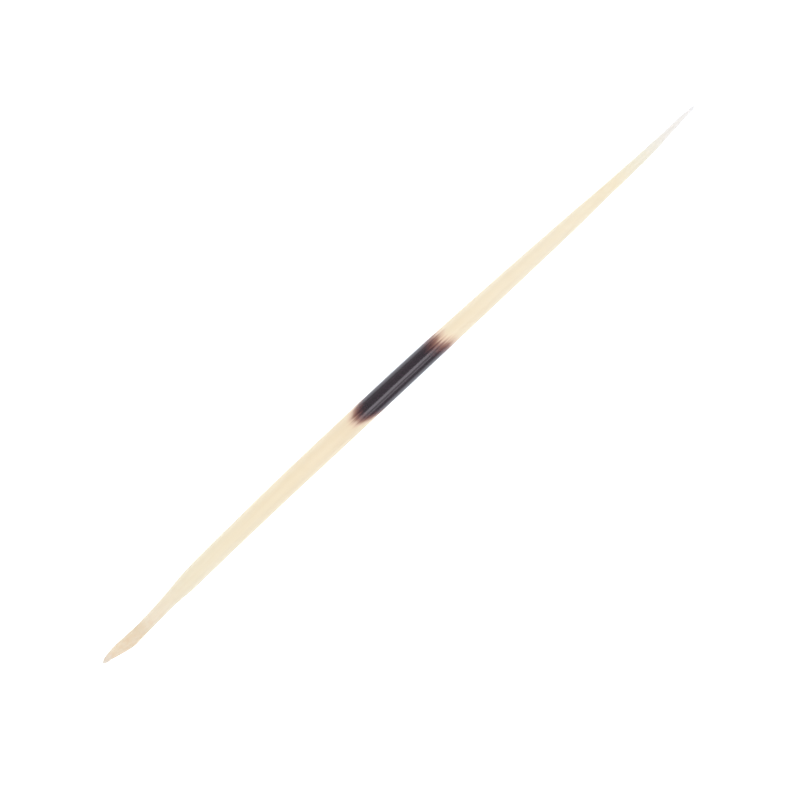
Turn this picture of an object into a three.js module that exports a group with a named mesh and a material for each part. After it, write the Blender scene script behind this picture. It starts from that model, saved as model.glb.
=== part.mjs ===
// A porcupine quill, laid down. It is one slender spindle of keratin: a flattened,
// shrivelled root that comes to a point, a narrow neck, a shoulder, a long round
// body with fine ridges running along it, and a needle tip.
// Millimetres. X runs from the root to the tip, Y across and Z up. The origin is on
// the surface that the quill lies on, under the middle of its length and width.

import * as THREE from "three";

// Driving dimensions.
const LENGTH = 210;
const BODY_RADIUS = 2.9; // at the thickest place
const BOW = 1.05; // how far the body stands aside from the straight line, root to tip

// Fine ridges along the quill, each with one crest and one groove.
const RIDGES = 26;
const RIDGE_HEIGHT = 0.04; // crest to groove, where the body is thickest

// The root is flattened, and grows round again up to the shoulder.
const ROOT_THICKNESS = 0.72; // its thickness, as a share of its width
const ROOT_FLAT_UNTIL = 10;
const ROUND_FROM = 34;

// The belly has a narrow flat to lie on. The ends hang down a little past it.
const BELLY_START = 49;
const BELLY_END = 123;
const BELLY_RADIUS = 2.68; // of the body where the flat starts and ends
const BELLY_DEPTH = 0.085; // how far the flat cuts into the round body
const TIP_DROOP = 0.9;

// The outline from root to tip: the place as a share of LENGTH, the radius as a share
// of BODY_RADIUS, and how far the centre line stands aside as a share of BOW.
const OUTLINE = [
  { place: 0, radius: 0, aside: 0.21 },
  { place: 0.005, radius: 0.225, aside: 0.25 },
  { place: 0.012, radius: 0.335, aside: 0.3 },
  { place: 0.027, radius: 0.51, aside: 0.03 },
  { place: 0.042, radius: 0.625, aside: -0.28 },
  { place: 0.06, radius: 0.592, aside: -0.28 },
  { place: 0.09, radius: 0.615, aside: -0.02 },
  { place: 0.116, radius: 0.67, aside: 0.3 },
  { place: 0.146, radius: 0.85, aside: 0.51 },
  { place: 0.162, radius: 0.884, aside: 0.63 },
  { place: 0.2, radius: 0.905, aside: 0.78 },
  { place: 0.3, radius: 0.965, aside: 1 },
  { place: 0.4, radius: 1, aside: 0.95 },
  { place: 0.5, radius: 0.975, aside: 0.84 },
  { place: 0.6, radius: 0.92, aside: 0.62 },
  { place: 0.68, radius: 0.844, aside: 0.36 },
  { place: 0.75, radius: 0.753, aside: 0.1 },
  { place: 0.8, radius: 0.665, aside: -0.08 },
  { place: 0.845, radius: 0.545, aside: -0.2 },
  { place: 0.88, radius: 0.49, aside: -0.31 },
  { place: 0.91, radius: 0.44, aside: -0.36 },
  { place: 0.935, radius: 0.375, aside: -0.3 },
  { place: 0.948, radius: 0.325, aside: -0.21 },
  { place: 0.972, radius: 0.25, aside: -0.02 },
  { place: 0.988, radius: 0.19, aside: 0.02 },
  { place: 0.997, radius: 0.12, aside: 0.01 },
  { place: 1, radius: 0, aside: 0.01 },
];
const STEPS_PER_SPAN = 3; // rings of vertices from one outline point to the next

// One smooth curve holds the distance from the root, the radius and the sideways
// offset. Its points at equal steps are the rings of the quill.
function makeRings() {
  const corners = OUTLINE.map(
    ({ place, radius, aside }) =>
      new THREE.Vector3(place * LENGTH, radius * BODY_RADIUS, aside * BOW),
  );
  const curve = new THREE.CatmullRomCurve3(corners, false, "centripetal");
  return curve
    .getPoints(STEPS_PER_SPAN * (OUTLINE.length - 1))
    .map(({ x, y, z }) => ({ along: x, radius: Math.max(y, 0), offset: z }));
}

function thicknessAt(along) {
  const roundness = THREE.MathUtils.smoothstep(along, ROOT_FLAT_UNTIL, ROUND_FROM);
  return THREE.MathUtils.lerp(ROOT_THICKNESS, 1, roundness);
}

// The height of the centre line. It keeps the belly on the surface between the ends
// of the flat, and hangs down as a square of the distance past them.
function centreHeight({ along, radius }) {
  const past = Math.max(BELLY_START - along, along - BELLY_END, 0);
  const droop = TIP_DROOP * (past / (LENGTH - BELLY_END)) ** 2;
  return Math.max(radius, BELLY_RADIUS) - BELLY_DEPTH - droop;
}

function makeQuill() {
  const rings = makeRings();
  const profile = rings.map(({ along, radius }) => new THREE.Vector2(radius, along));
  const geometry = new THREE.LatheGeometry(profile, 2 * RIDGES);
  geometry.rotateZ(-Math.PI / 2); // the axis now lies along X

  const vertex = new THREE.Vector3();
  const { position } = geometry.attributes;
  for (let i = 0; i < position.count; i++) {
    const ring = rings[i % rings.length];
    const column = Math.floor(i / rings.length);
    const side = column % 2 === 0 ? 1 : -1; // a crest or a groove
    const swell = 1 + (side * RIDGE_HEIGHT) / (2 * BODY_RADIUS);
    vertex.fromBufferAttribute(position, i);
    vertex.y = vertex.y * swell + ring.offset;
    vertex.z = vertex.z * swell * thicknessAt(ring.along) + centreHeight(ring);
    vertex.z = Math.max(vertex.z, 0);
    position.setXYZ(i, vertex.x, vertex.y, vertex.z);
  }

  geometry.computeBoundingBox();
  const middle = geometry.boundingBox.getCenter(new THREE.Vector3());
  geometry.translate(-middle.x, -middle.y, 0);
  geometry.computeVertexNormals();
  return geometry;
}

const keratin = new THREE.MeshStandardMaterial({
  color: 0xf2e4c8,
  roughness: 0.45,
  metalness: 0,
});

const quill = new THREE.Mesh(makeQuill(), keratin);
quill.name = "quill";

const model = new THREE.Group();
model.add(quill);

export default model;
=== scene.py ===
import math

import bmesh
import bpy
import numpy as np
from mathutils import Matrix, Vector, noise


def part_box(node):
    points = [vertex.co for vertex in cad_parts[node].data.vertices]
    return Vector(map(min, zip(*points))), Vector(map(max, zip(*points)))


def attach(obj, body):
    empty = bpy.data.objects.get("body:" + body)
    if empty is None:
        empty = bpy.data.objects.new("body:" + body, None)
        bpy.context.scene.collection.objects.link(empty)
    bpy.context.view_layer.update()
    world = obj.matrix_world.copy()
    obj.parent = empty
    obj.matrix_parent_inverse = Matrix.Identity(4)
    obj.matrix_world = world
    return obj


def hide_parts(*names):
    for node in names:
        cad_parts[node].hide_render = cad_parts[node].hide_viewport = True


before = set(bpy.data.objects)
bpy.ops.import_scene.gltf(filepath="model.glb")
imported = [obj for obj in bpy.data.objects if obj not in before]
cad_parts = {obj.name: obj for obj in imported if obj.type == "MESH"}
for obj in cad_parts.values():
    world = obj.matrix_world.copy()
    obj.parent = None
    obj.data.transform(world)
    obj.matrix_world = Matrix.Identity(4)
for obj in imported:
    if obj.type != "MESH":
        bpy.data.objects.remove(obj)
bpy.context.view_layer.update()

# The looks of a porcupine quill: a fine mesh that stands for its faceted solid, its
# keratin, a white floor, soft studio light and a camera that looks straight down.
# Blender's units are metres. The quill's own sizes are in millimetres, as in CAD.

MM = 0.001
QUILL_LOW, QUILL_HIGH = (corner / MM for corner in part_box("quill"))
LENGTH = QUILL_HIGH.x - QUILL_LOW.x
BODY_RADIUS = 2.89  # a hair less than the CAD model's, to stay inside its box
BOW = 1.05

# The outline from root to tip, as in the CAD model: the place as a share of LENGTH, the
# radius as a share of BODY_RADIUS, and how far the centre line stands aside, of BOW.
OUTLINE = [
    (0, 0, 0.21),
    (0.005, 0.225, 0.25),
    (0.012, 0.335, 0.3),
    (0.027, 0.51, 0.03),
    (0.042, 0.625, -0.28),
    (0.06, 0.592, -0.28),
    (0.09, 0.615, -0.02),
    (0.116, 0.67, 0.3),
    (0.146, 0.85, 0.51),
    (0.162, 0.884, 0.63),
    (0.2, 0.905, 0.78),
    (0.3, 0.965, 1),
    (0.4, 1, 0.95),
    (0.5, 0.975, 0.84),
    (0.6, 0.92, 0.62),
    (0.68, 0.844, 0.36),
    (0.75, 0.753, 0.1),
    (0.8, 0.665, -0.08),
    (0.845, 0.545, -0.2),
    (0.88, 0.49, -0.31),
    (0.91, 0.44, -0.36),
    (0.935, 0.375, -0.3),
    (0.948, 0.325, -0.21),
    (0.972, 0.25, -0.02),
    (0.988, 0.19, 0.02),
    (0.997, 0.12, 0.01),
    (1, 0, 0.01),
]

# The root is flattened, and grows round again up to the shoulder.
ROOT_THICKNESS = 0.72
ROOT_FLAT_UNTIL = 10
ROUND_FROM = 34

# The belly's flat, and the droop of the ends past it.
BELLY_START = 49
BELLY_END = 123
BELLY_RADIUS = 2.68
BELLY_DEPTH = 0.085
TIP_DROOP = 0.9

# Relief of the surface.
RIDGES = 26
RIDGE_HEIGHT = 0.005
FOLD_DEPTH = 0.1  # of the shrivelled root's lengthwise folds
FOLDS_UNTIL = 24

# The fine mesh.
STRIPS = 4  # the bake's map lays the quill out in this many strips
SPANS_PER_STRIP = 108
SPANS = STRIPS * SPANS_PER_STRIP  # from ring to ring along the quill
COLUMNS = 208  # round it
STRIP_MARGIN = 0.004
CURVE_STEPS = 40  # points of the smooth outline from one of its corners to the next
CROWDING = 0.09  # how much closer the rings lie near the ends, which bend more tightly

# The dark band's edges by the root and by the tip, as shares of LENGTH. The quill turns
# from cream to dark between two distances from each edge, counted into the band.
BAND_START = 0.433
BAND_END = 0.569
START_FADE = (-0.017, 0.022)
END_FADE = (-0.024, 0.027)

# Colours, as a screen shows them, 0 to 255. The cream's go by the share of LENGTH, and
# the band's by how far a point lies into it, 0 to 1.
CREAM_COLOURS = [
    (0.0, (203, 198, 192)),
    (0.02, (217, 203, 182)),
    (0.065, (211, 198, 176)),
    (0.08, (218, 208, 190)),
    (0.15, (219, 210, 188)),
    (0.3, (221, 209, 184)),
    (0.385, (221, 208, 183)),
    (0.425, (218, 204, 179)),
    (0.6, (222, 210, 186)),
    (0.75, (222, 212, 191)),
    (0.86, (222, 212, 189)),
    (0.91, (220, 216, 202)),
    (0.95, (218, 215, 211)),
    (0.985, (219, 217, 216)),
    (1.0, (208, 208, 211)),
]
BAND_COLOURS = [
    (0.0, (218, 199, 175)),
    (0.2, (205, 181, 159)),
    (0.42, (143, 105, 90)),
    (0.62, (98, 60, 52)),
    (0.8, (67, 34, 36)),
    (0.92, (40, 18, 26)),
    (1.0, (25, 13, 23)),
]
ROOT_STAIN = (206, 172, 133)

# Where the quill's two ends lie in the picture, and the camera that puts them there.
PICTURE = 800
ROOT_PIXEL = Vector((102.6, 663.8))
TIP_PIXEL = Vector((695.3, 105.3))
LENS = 100
SENSOR = 36


# ---- Shape ----


def smoothstep(value, low, high):
    share = np.clip((value - low) / (high - low), 0, 1)
    return share * share * (3 - 2 * share)


def catmull_rom(corners, steps):
    """Points of the centripetal Catmull-Rom curve, with steps from corner to corner."""
    behind = 2 * corners[0] - corners[1]
    ahead = 2 * corners[-1] - corners[-2]
    knots = np.vstack([behind, corners, ahead])
    t = np.linspace(0, 1, steps, endpoint=False)[:, None]
    made = []
    for p0, p1, p2, p3 in zip(knots, knots[1:], knots[2:], knots[3:]):
        before, here, after = (
            math.sqrt(np.linalg.norm(b - a)) for a, b in ((p0, p1), (p1, p2), (p2, p3))
        )
        leave = (p1 - p0) / before - (p2 - p0) / (before + here)
        arrive = (p3 - p2) / after - (p3 - p1) / (here + after)
        made.append(
            (2 * t**3 - 3 * t**2 + 1) * p1
            + (t**3 - 2 * t**2 + t) * (p2 - p1 + leave * here)
            + (3 * t**2 - 2 * t**3) * p2
            + (t**3 - t**2) * (p2 - p1 + arrive * here)
        )
    return np.vstack([*made, corners[-1:]])


def make_rings():
    """Distance from the root, radius and sideways offset of each ring."""
    corners = np.array(OUTLINE, float) * (LENGTH, BODY_RADIUS, BOW)
    along, radius, aside = catmull_rom(corners, CURVE_STEPS).T
    even = np.linspace(0, 1, SPANS + 1)
    place = LENGTH * (even - CROWDING * np.sin(2 * math.pi * even))
    radius = np.maximum(np.interp(place, along, radius), 0)
    return place, radius, np.interp(place, along, aside)


def ridge_relief(place, angle):
    """Fine ridges of unequal width and height, which run the whole length."""
    shift = 1.1 * np.sin(3 * angle + 1) + 0.7 * np.sin(5 * angle + 2.3)
    height = 0.75 + 0.25 * np.sin(4 * angle + 0.7 + place / 40)
    return RIDGE_HEIGHT / 2 * height * np.cos(RIDGES * angle + shift)


def root_folds(place, angle):
    """Lengthwise folds and dents that sink into the dried root."""
    wander = 0.35 * np.sin(place / 5) + place / 30
    deep = (1 - np.abs(np.sin(2.5 * angle + wander + 0.4))) ** 3
    fine = (1 - np.abs(np.sin(4 * angle - wander))) ** 4
    dents = np.vectorize(
        lambda x, a: noise.noise((x / 2.2, 1.6 * math.sin(a), 1.6 * math.cos(a)))
    )(place, angle)
    sunk = deep + 0.6 * fine + np.maximum(dents, 0)
    fade = smoothstep(place, 0, 4) - smoothstep(place, 0.4 * FOLDS_UNTIL, FOLDS_UNTIL)
    return -FOLD_DEPTH * sunk * fade


def make_points():
    """The quill's vertices, ring by ring, in millimetres, with where each lies on the
    straight quill: the share of its length, and its direction across."""
    place, radius, aside = make_rings()
    angle = np.linspace(0, 2 * math.pi, COLUMNS, endpoint=False)
    place, angle = np.meshgrid(place, angle, indexing="ij")
    radius, aside = radius[:, None], aside[:, None]

    relief = ridge_relief(place, angle) + root_folds(place, angle)
    reach = radius + relief * radius / BODY_RADIUS
    roundness = smoothstep(place, ROOT_FLAT_UNTIL, ROUND_FROM)
    thickness = ROOT_THICKNESS + (1 - ROOT_THICKNESS) * roundness
    past = np.maximum(np.maximum(BELLY_START - place, place - BELLY_END), 0)
    droop = TIP_DROOP * (past / (LENGTH - BELLY_END)) ** 2
    height = np.maximum(radius, BELLY_RADIUS) - BELLY_DEPTH - droop

    y = reach * np.sin(angle) + aside
    z = np.maximum(reach * np.cos(angle) * thickness + height, 0)
    y += (QUILL_LOW.y + QUILL_HIGH.y - y.min() - y.max()) / 2
    points = np.stack([place + QUILL_LOW.x, y, z], -1)
    grown = np.stack([place / LENGTH, np.sin(angle), np.cos(angle)], -1)
    return points.reshape(-1, 3), grown.reshape(-1, 3)


def add_bake_map(mesh, place, span, column):
    """Lays the quill out in strips, one above the other, so that a square image holds
    its pattern nearly as finely along it as round it."""
    strip = span // SPANS_PER_STRIP
    start = place[strip * SPANS_PER_STRIP]
    end = place[(strip + 1) * SPANS_PER_STRIP]

    def inside(share):
        return STRIP_MARGIN + share * (1 - 2 * STRIP_MARGIN)

    def corner(ring, line):
        across = inside((place[ring] - start) / (end - start))
        return across, (strip + inside(line / COLUMNS)) / STRIPS

    uv = [
        corner(span, column),
        corner(span + 1, column),
        corner(span + 1, column + 1),
        corner(span, column + 1),
    ]
    layer = mesh.uv_layers.new(name="OFBake")
    layer.uv.foreach_set("vector", np.array(uv, np.float32).transpose(2, 0, 1).ravel())


def close_ends(mesh):
    """The first and the last ring have no radius: each becomes one vertex."""
    shape = bmesh.new()
    shape.from_mesh(mesh)
    bmesh.ops.remove_doubles(shape, verts=shape.verts, dist=1e-9)
    shape.to_mesh(mesh)
    shape.free()


def make_quill(points, grown):
    span, column = (number.ravel() for number in np.mgrid[:SPANS, :COLUMNS])
    here = span * COLUMNS + column
    beside = span * COLUMNS + (column + 1) % COLUMNS
    quads = np.stack([here, here + COLUMNS, beside + COLUMNS, beside], -1)

    mesh = bpy.data.meshes.new("quill_surface")
    mesh.from_pydata((points * MM).tolist(), [], quads.tolist())
    add_bake_map(mesh, grown[::COLUMNS, 0], span, column)
    attribute = mesh.attributes.new("grown", "FLOAT_VECTOR", "POINT")
    attribute.data.foreach_set("vector", grown.astype(np.float32).ravel())
    close_ends(mesh)
    mesh.shade_smooth()
    piece = bpy.data.objects.new("quill_surface", mesh)
    bpy.context.collection.objects.link(piece)
    return piece


# ---- Materials ----


class Field:
    """A shader value that varies over the surface, with plain arithmetic."""

    def __init__(self, shader, socket):
        self.shader = shader
        self.socket = socket

    def __add__(self, other):
        return self.shader.math("ADD", self, other)

    __radd__ = __add__

    def __sub__(self, other):
        return self.shader.math("SUBTRACT", self, other)

    def __rsub__(self, other):
        return self.shader.math("SUBTRACT", other, self)

    def __mul__(self, other):
        return self.shader.math("MULTIPLY", self, other)

    def smoothstep(self, low, high):
        limits = {"From Min": low, "From Max": high}
        return self.shader.field(
            "ShaderNodeMapRange",
            {"Value": self} | limits,
            interpolation_type="SMOOTHSTEP",
        )

    def ramp(self, stops):
        """A colour for each value, from (value, colour) pairs."""
        made = self.shader.node("ShaderNodeValToRGB", {"Fac": self})
        elements = made.color_ramp.elements
        elements.remove(elements[1])
        for i, (at, colour) in enumerate(stops):
            element = elements.new(at) if i else elements[0]
            element.position = at
            element.color = colour
        return Field(self.shader, made.outputs["Color"])

    def screen_ramp(self, stops):
        """The same, from colours as a screen shows them."""
        return self.ramp([(at, srgb(*colour)) for at, colour in stops])


class Shader:
    """A material, and short ways to add nodes to it."""

    def __init__(self, name):
        self.material = bpy.data.materials.new(name)
        self.material.use_nodes = True
        self.tree = self.material.node_tree
        self.surface = self.tree.nodes["Principled BSDF"]

    def feed(self, socket, value):
        if isinstance(value, Field):
            self.tree.links.new(value.socket, socket)
        else:
            socket.default_value = value

    def node(self, kind, inputs, **settings):
        made = self.tree.nodes.new(kind)
        for name, value in settings.items():
            setattr(made, name, value)
        for name, value in inputs.items():
            self.feed(made.inputs[name], value)
        return made

    def field(self, kind, inputs, output=0, **settings):
        return Field(self, self.node(kind, inputs, **settings).outputs[output])

    def math(self, operation, *values):
        inputs = dict(enumerate(values))
        return self.field("ShaderNodeMath", inputs, operation=operation)

    def mix(self, share, first, second, blend="MIX"):
        """A share of the second colour in the first."""
        made = self.node("ShaderNodeMix", {}, data_type="RGBA", blend_type=blend)
        sockets = {socket.identifier: socket for socket in made.inputs}
        self.feed(sockets["Factor_Float"], share)
        self.feed(sockets["A_Color"], first)
        self.feed(sockets["B_Color"], second)
        return Field(
            self, next(s for s in made.outputs if s.identifier == "Result_Color")
        )

    def finish(self, inputs):
        for name, value in inputs.items():
            self.feed(self.surface.inputs[name], value)
        return self.material


def srgb(red, green, blue):
    """An opaque colour in linear light, from one as a screen shows it, 0 to 255."""
    linear = (
        c / 12.92 if c <= 0.04045 else ((c + 0.055) / 1.055) ** 2.4
        for c in (red / 255, green / 255, blue / 255)
    )
    return (*linear, 1)


def noise_over(grown, lengthwise, across, **inputs):
    """Noise over the quill, 0 to 1 with its middle at 0.5. The two numbers say how
    closely it is packed along the quill and round it."""
    shader = grown.shader
    packed = shader.field(
        "ShaderNodeVectorMath",
        {0: grown, 1: (lengthwise, across, across)},
        operation="MULTIPLY",
    )
    inputs |= {"Vector": packed, "Scale": 1}
    return shader.field("ShaderNodeTexNoise", inputs)


def fibres(grown, lengthwise, across):
    """Fine noise with its middle at 0, drawn out along the quill."""
    return noise_over(grown, lengthwise, across, Detail=2) - 0.5


def band_depth(place, side, up, frayed):
    """How far a point lies into the dark band, 0 to 1. Each of the band's edges leans
    round the quill."""
    start_lean = (1 - up) * 0.03 - side * 0.004
    end_lean = side.smoothstep(-0.1, -0.7) * 0.009 - (1 - up) * 0.002
    from_start = place - (start_lean + BAND_START + frayed)
    from_end = (end_lean + BAND_END + frayed) - place
    return from_start.smoothstep(*START_FADE) * from_end.smoothstep(*END_FADE)


def cream_colour(place, grain, stain):
    """Cream with fibres a shade darker and, by the root, tan stains."""
    shader = place.shader
    fibre_shade = grain.ramp([(0, (0.97, 0.955, 0.93, 1)), (1, (1, 1, 1, 1))])
    cream = shader.mix(1.0, place.screen_ramp(CREAM_COLOURS), fibre_shade, "MULTIPLY")
    return shader.mix(stain * 0.3, cream, srgb(*ROOT_STAIN))


def keratin():
    """Cream keratin with a streaky, near-black band round the middle, a pale tip and a
    tan, mottled root."""
    shader = Shader("keratin")
    grown = shader.field("ShaderNodeAttribute", {}, "Vector", attribute_name="grown")
    parts = shader.node("ShaderNodeSeparateXYZ", {"Vector": grown})
    place, side, up = (Field(shader, socket) for socket in parts.outputs)

    coarse = fibres(grown, 6, 1.6)
    streaks = fibres(grown, 9, 7)
    hairlines = fibres(grown, 14, 16)
    spots = noise_over(grown, LENGTH / 2, 2, Detail=4, Roughness=0.65)
    rootward = 1 - place.smoothstep(0.05, 0.13)

    frayed = coarse * 0.008 + streaks * 0.02 + hairlines * 0.014
    dark = band_depth(place, side, up, frayed)
    grain = (streaks + hairlines * 0.6).smoothstep(-0.35, 0.35)
    cream = cream_colour(place, grain, rootward * spots.smoothstep(0.42, 0.68))

    relief = hairlines * 0.6 + streaks * 0.4 + spots * rootward * 0.5
    bump = shader.field(
        "ShaderNodeBump", {"Height": relief, "Strength": 0.08, "Distance": 0.1 * MM}
    )
    return shader.finish(
        {
            "Base Color": shader.mix(
                dark.smoothstep(0.0, 0.15), cream, dark.screen_ramp(BAND_COLOURS)
            ),
            "Roughness": 0.5 - (dark * 0.32 - hairlines * 0.08),
            "Normal": bump,
            "IOR": 1.65,
            "Specular Tint": (0.97, 0.92, 1.0, 1),
            "Subsurface Weight": 0.7,
            "Subsurface Radius": (1.0, 1.0, 1.0),
            "Subsurface Scale": 0.9 * MM,
        }
    )


def floor_material():
    """A cool white, lit a little from below."""
    white = (0.9, 0.95, 0.99, 1)
    return Shader("white_floor").finish(
        {
            "Base Color": white,
            "Roughness": 0.8,
            "IOR": 1.3,
            "Emission Color": white,
            "Emission Strength": 0.55,
        }
    )


# ---- Studio ----


def add_floor():
    half = 3  # of its width, in metres
    mesh = bpy.data.meshes.new("floor")
    corners = [(-half, -half, 0), (half, -half, 0), (half, half, 0), (-half, half, 0)]
    mesh.from_pydata(corners, [], [(0, 1, 2, 3)])
    mesh.materials.append(floor_material())
    floor = bpy.data.objects.new("floor", mesh)
    bpy.context.collection.objects.link(floor)


def add_light(name, lean, width, length, brightness, mirrored=True):
    """A softbox above the quill, whose length runs along it. It leans towards +Y, by an
    angle in degrees, and shines brightness times as bright as white. The quill's gloss
    mirrors it or not."""
    distance = 1.0
    data = bpy.data.lights.new(name, "AREA")
    data.shape = "RECTANGLE"
    data.size = length
    data.size_y = width
    data.energy = brightness * math.pi * width * length
    light = bpy.data.objects.new(name, data)
    lean = math.radians(lean)
    light.location = (0, distance * math.sin(lean), distance * math.cos(lean))
    light.rotation_euler = (-lean, 0, 0)
    light.visible_camera = False
    light.visible_glossy = mirrored
    bpy.context.collection.objects.link(light)


def light_studio():
    world = bpy.data.worlds.new("studio")
    world.use_nodes = True
    background = world.node_tree.nodes["Background"]
    background.inputs["Color"].default_value = (1, 1, 1, 1)
    background.inputs["Strength"].default_value = 0.6
    bpy.context.scene.world = world
    bpy.context.scene.view_settings.view_transform = "Standard"
    add_light("top", lean=5, width=1.2, length=1.2, brightness=1.9, mirrored=False)
    add_light("key", lean=-14, width=0.44, length=0.3, brightness=2.05)
    add_light("key_halo", lean=-22, width=0.8, length=0.3, brightness=0.42)
    add_light("fill", lean=-50, width=0.24, length=0.3, brightness=1.75)
    add_light("side", lean=72, width=0.4, length=0.7, brightness=0.18)


def add_camera(root, tip):
    """Looks straight down, with the quill's ends where the picture has them."""
    along = tip - root
    seen = TIP_PIXEL - ROOT_PIXEL
    mm_per_pixel = along.xy.length / seen.length
    # The picture's rows count downwards.
    turn = math.atan2(along.y, along.x) - math.atan2(-seen.y, seen.x)
    to_centre = Vector((PICTURE / 2, PICTURE / 2)) - (ROOT_PIXEL + TIP_PIXEL) / 2
    offset = Vector((to_centre.x, -to_centre.y, 0)) * mm_per_pixel
    cos, sin = math.cos(turn), math.sin(turn)
    middle = (root + tip) / 2
    height = LENS / SENSOR * PICTURE * mm_per_pixel

    data = bpy.data.cameras.new("camera")
    data.lens = LENS
    data.sensor_width = SENSOR
    data.clip_start = 0.01
    camera = bpy.data.objects.new("camera", data)
    camera.location = MM * Vector(
        (
            middle.x + offset.x * cos - offset.y * sin,
            middle.y + offset.x * sin + offset.y * cos,
            middle.z + height,
        )
    )
    camera.rotation_euler = (0, 0, turn)
    bpy.context.collection.objects.link(camera)
    bpy.context.scene.camera = camera


points, grown = make_points()
quill = make_quill(points, grown)
quill.data.materials.append(keratin())
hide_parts("quill")
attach(quill, "root")

add_floor()
light_studio()
add_camera(Vector(points[0]), Vector(points[-1]))
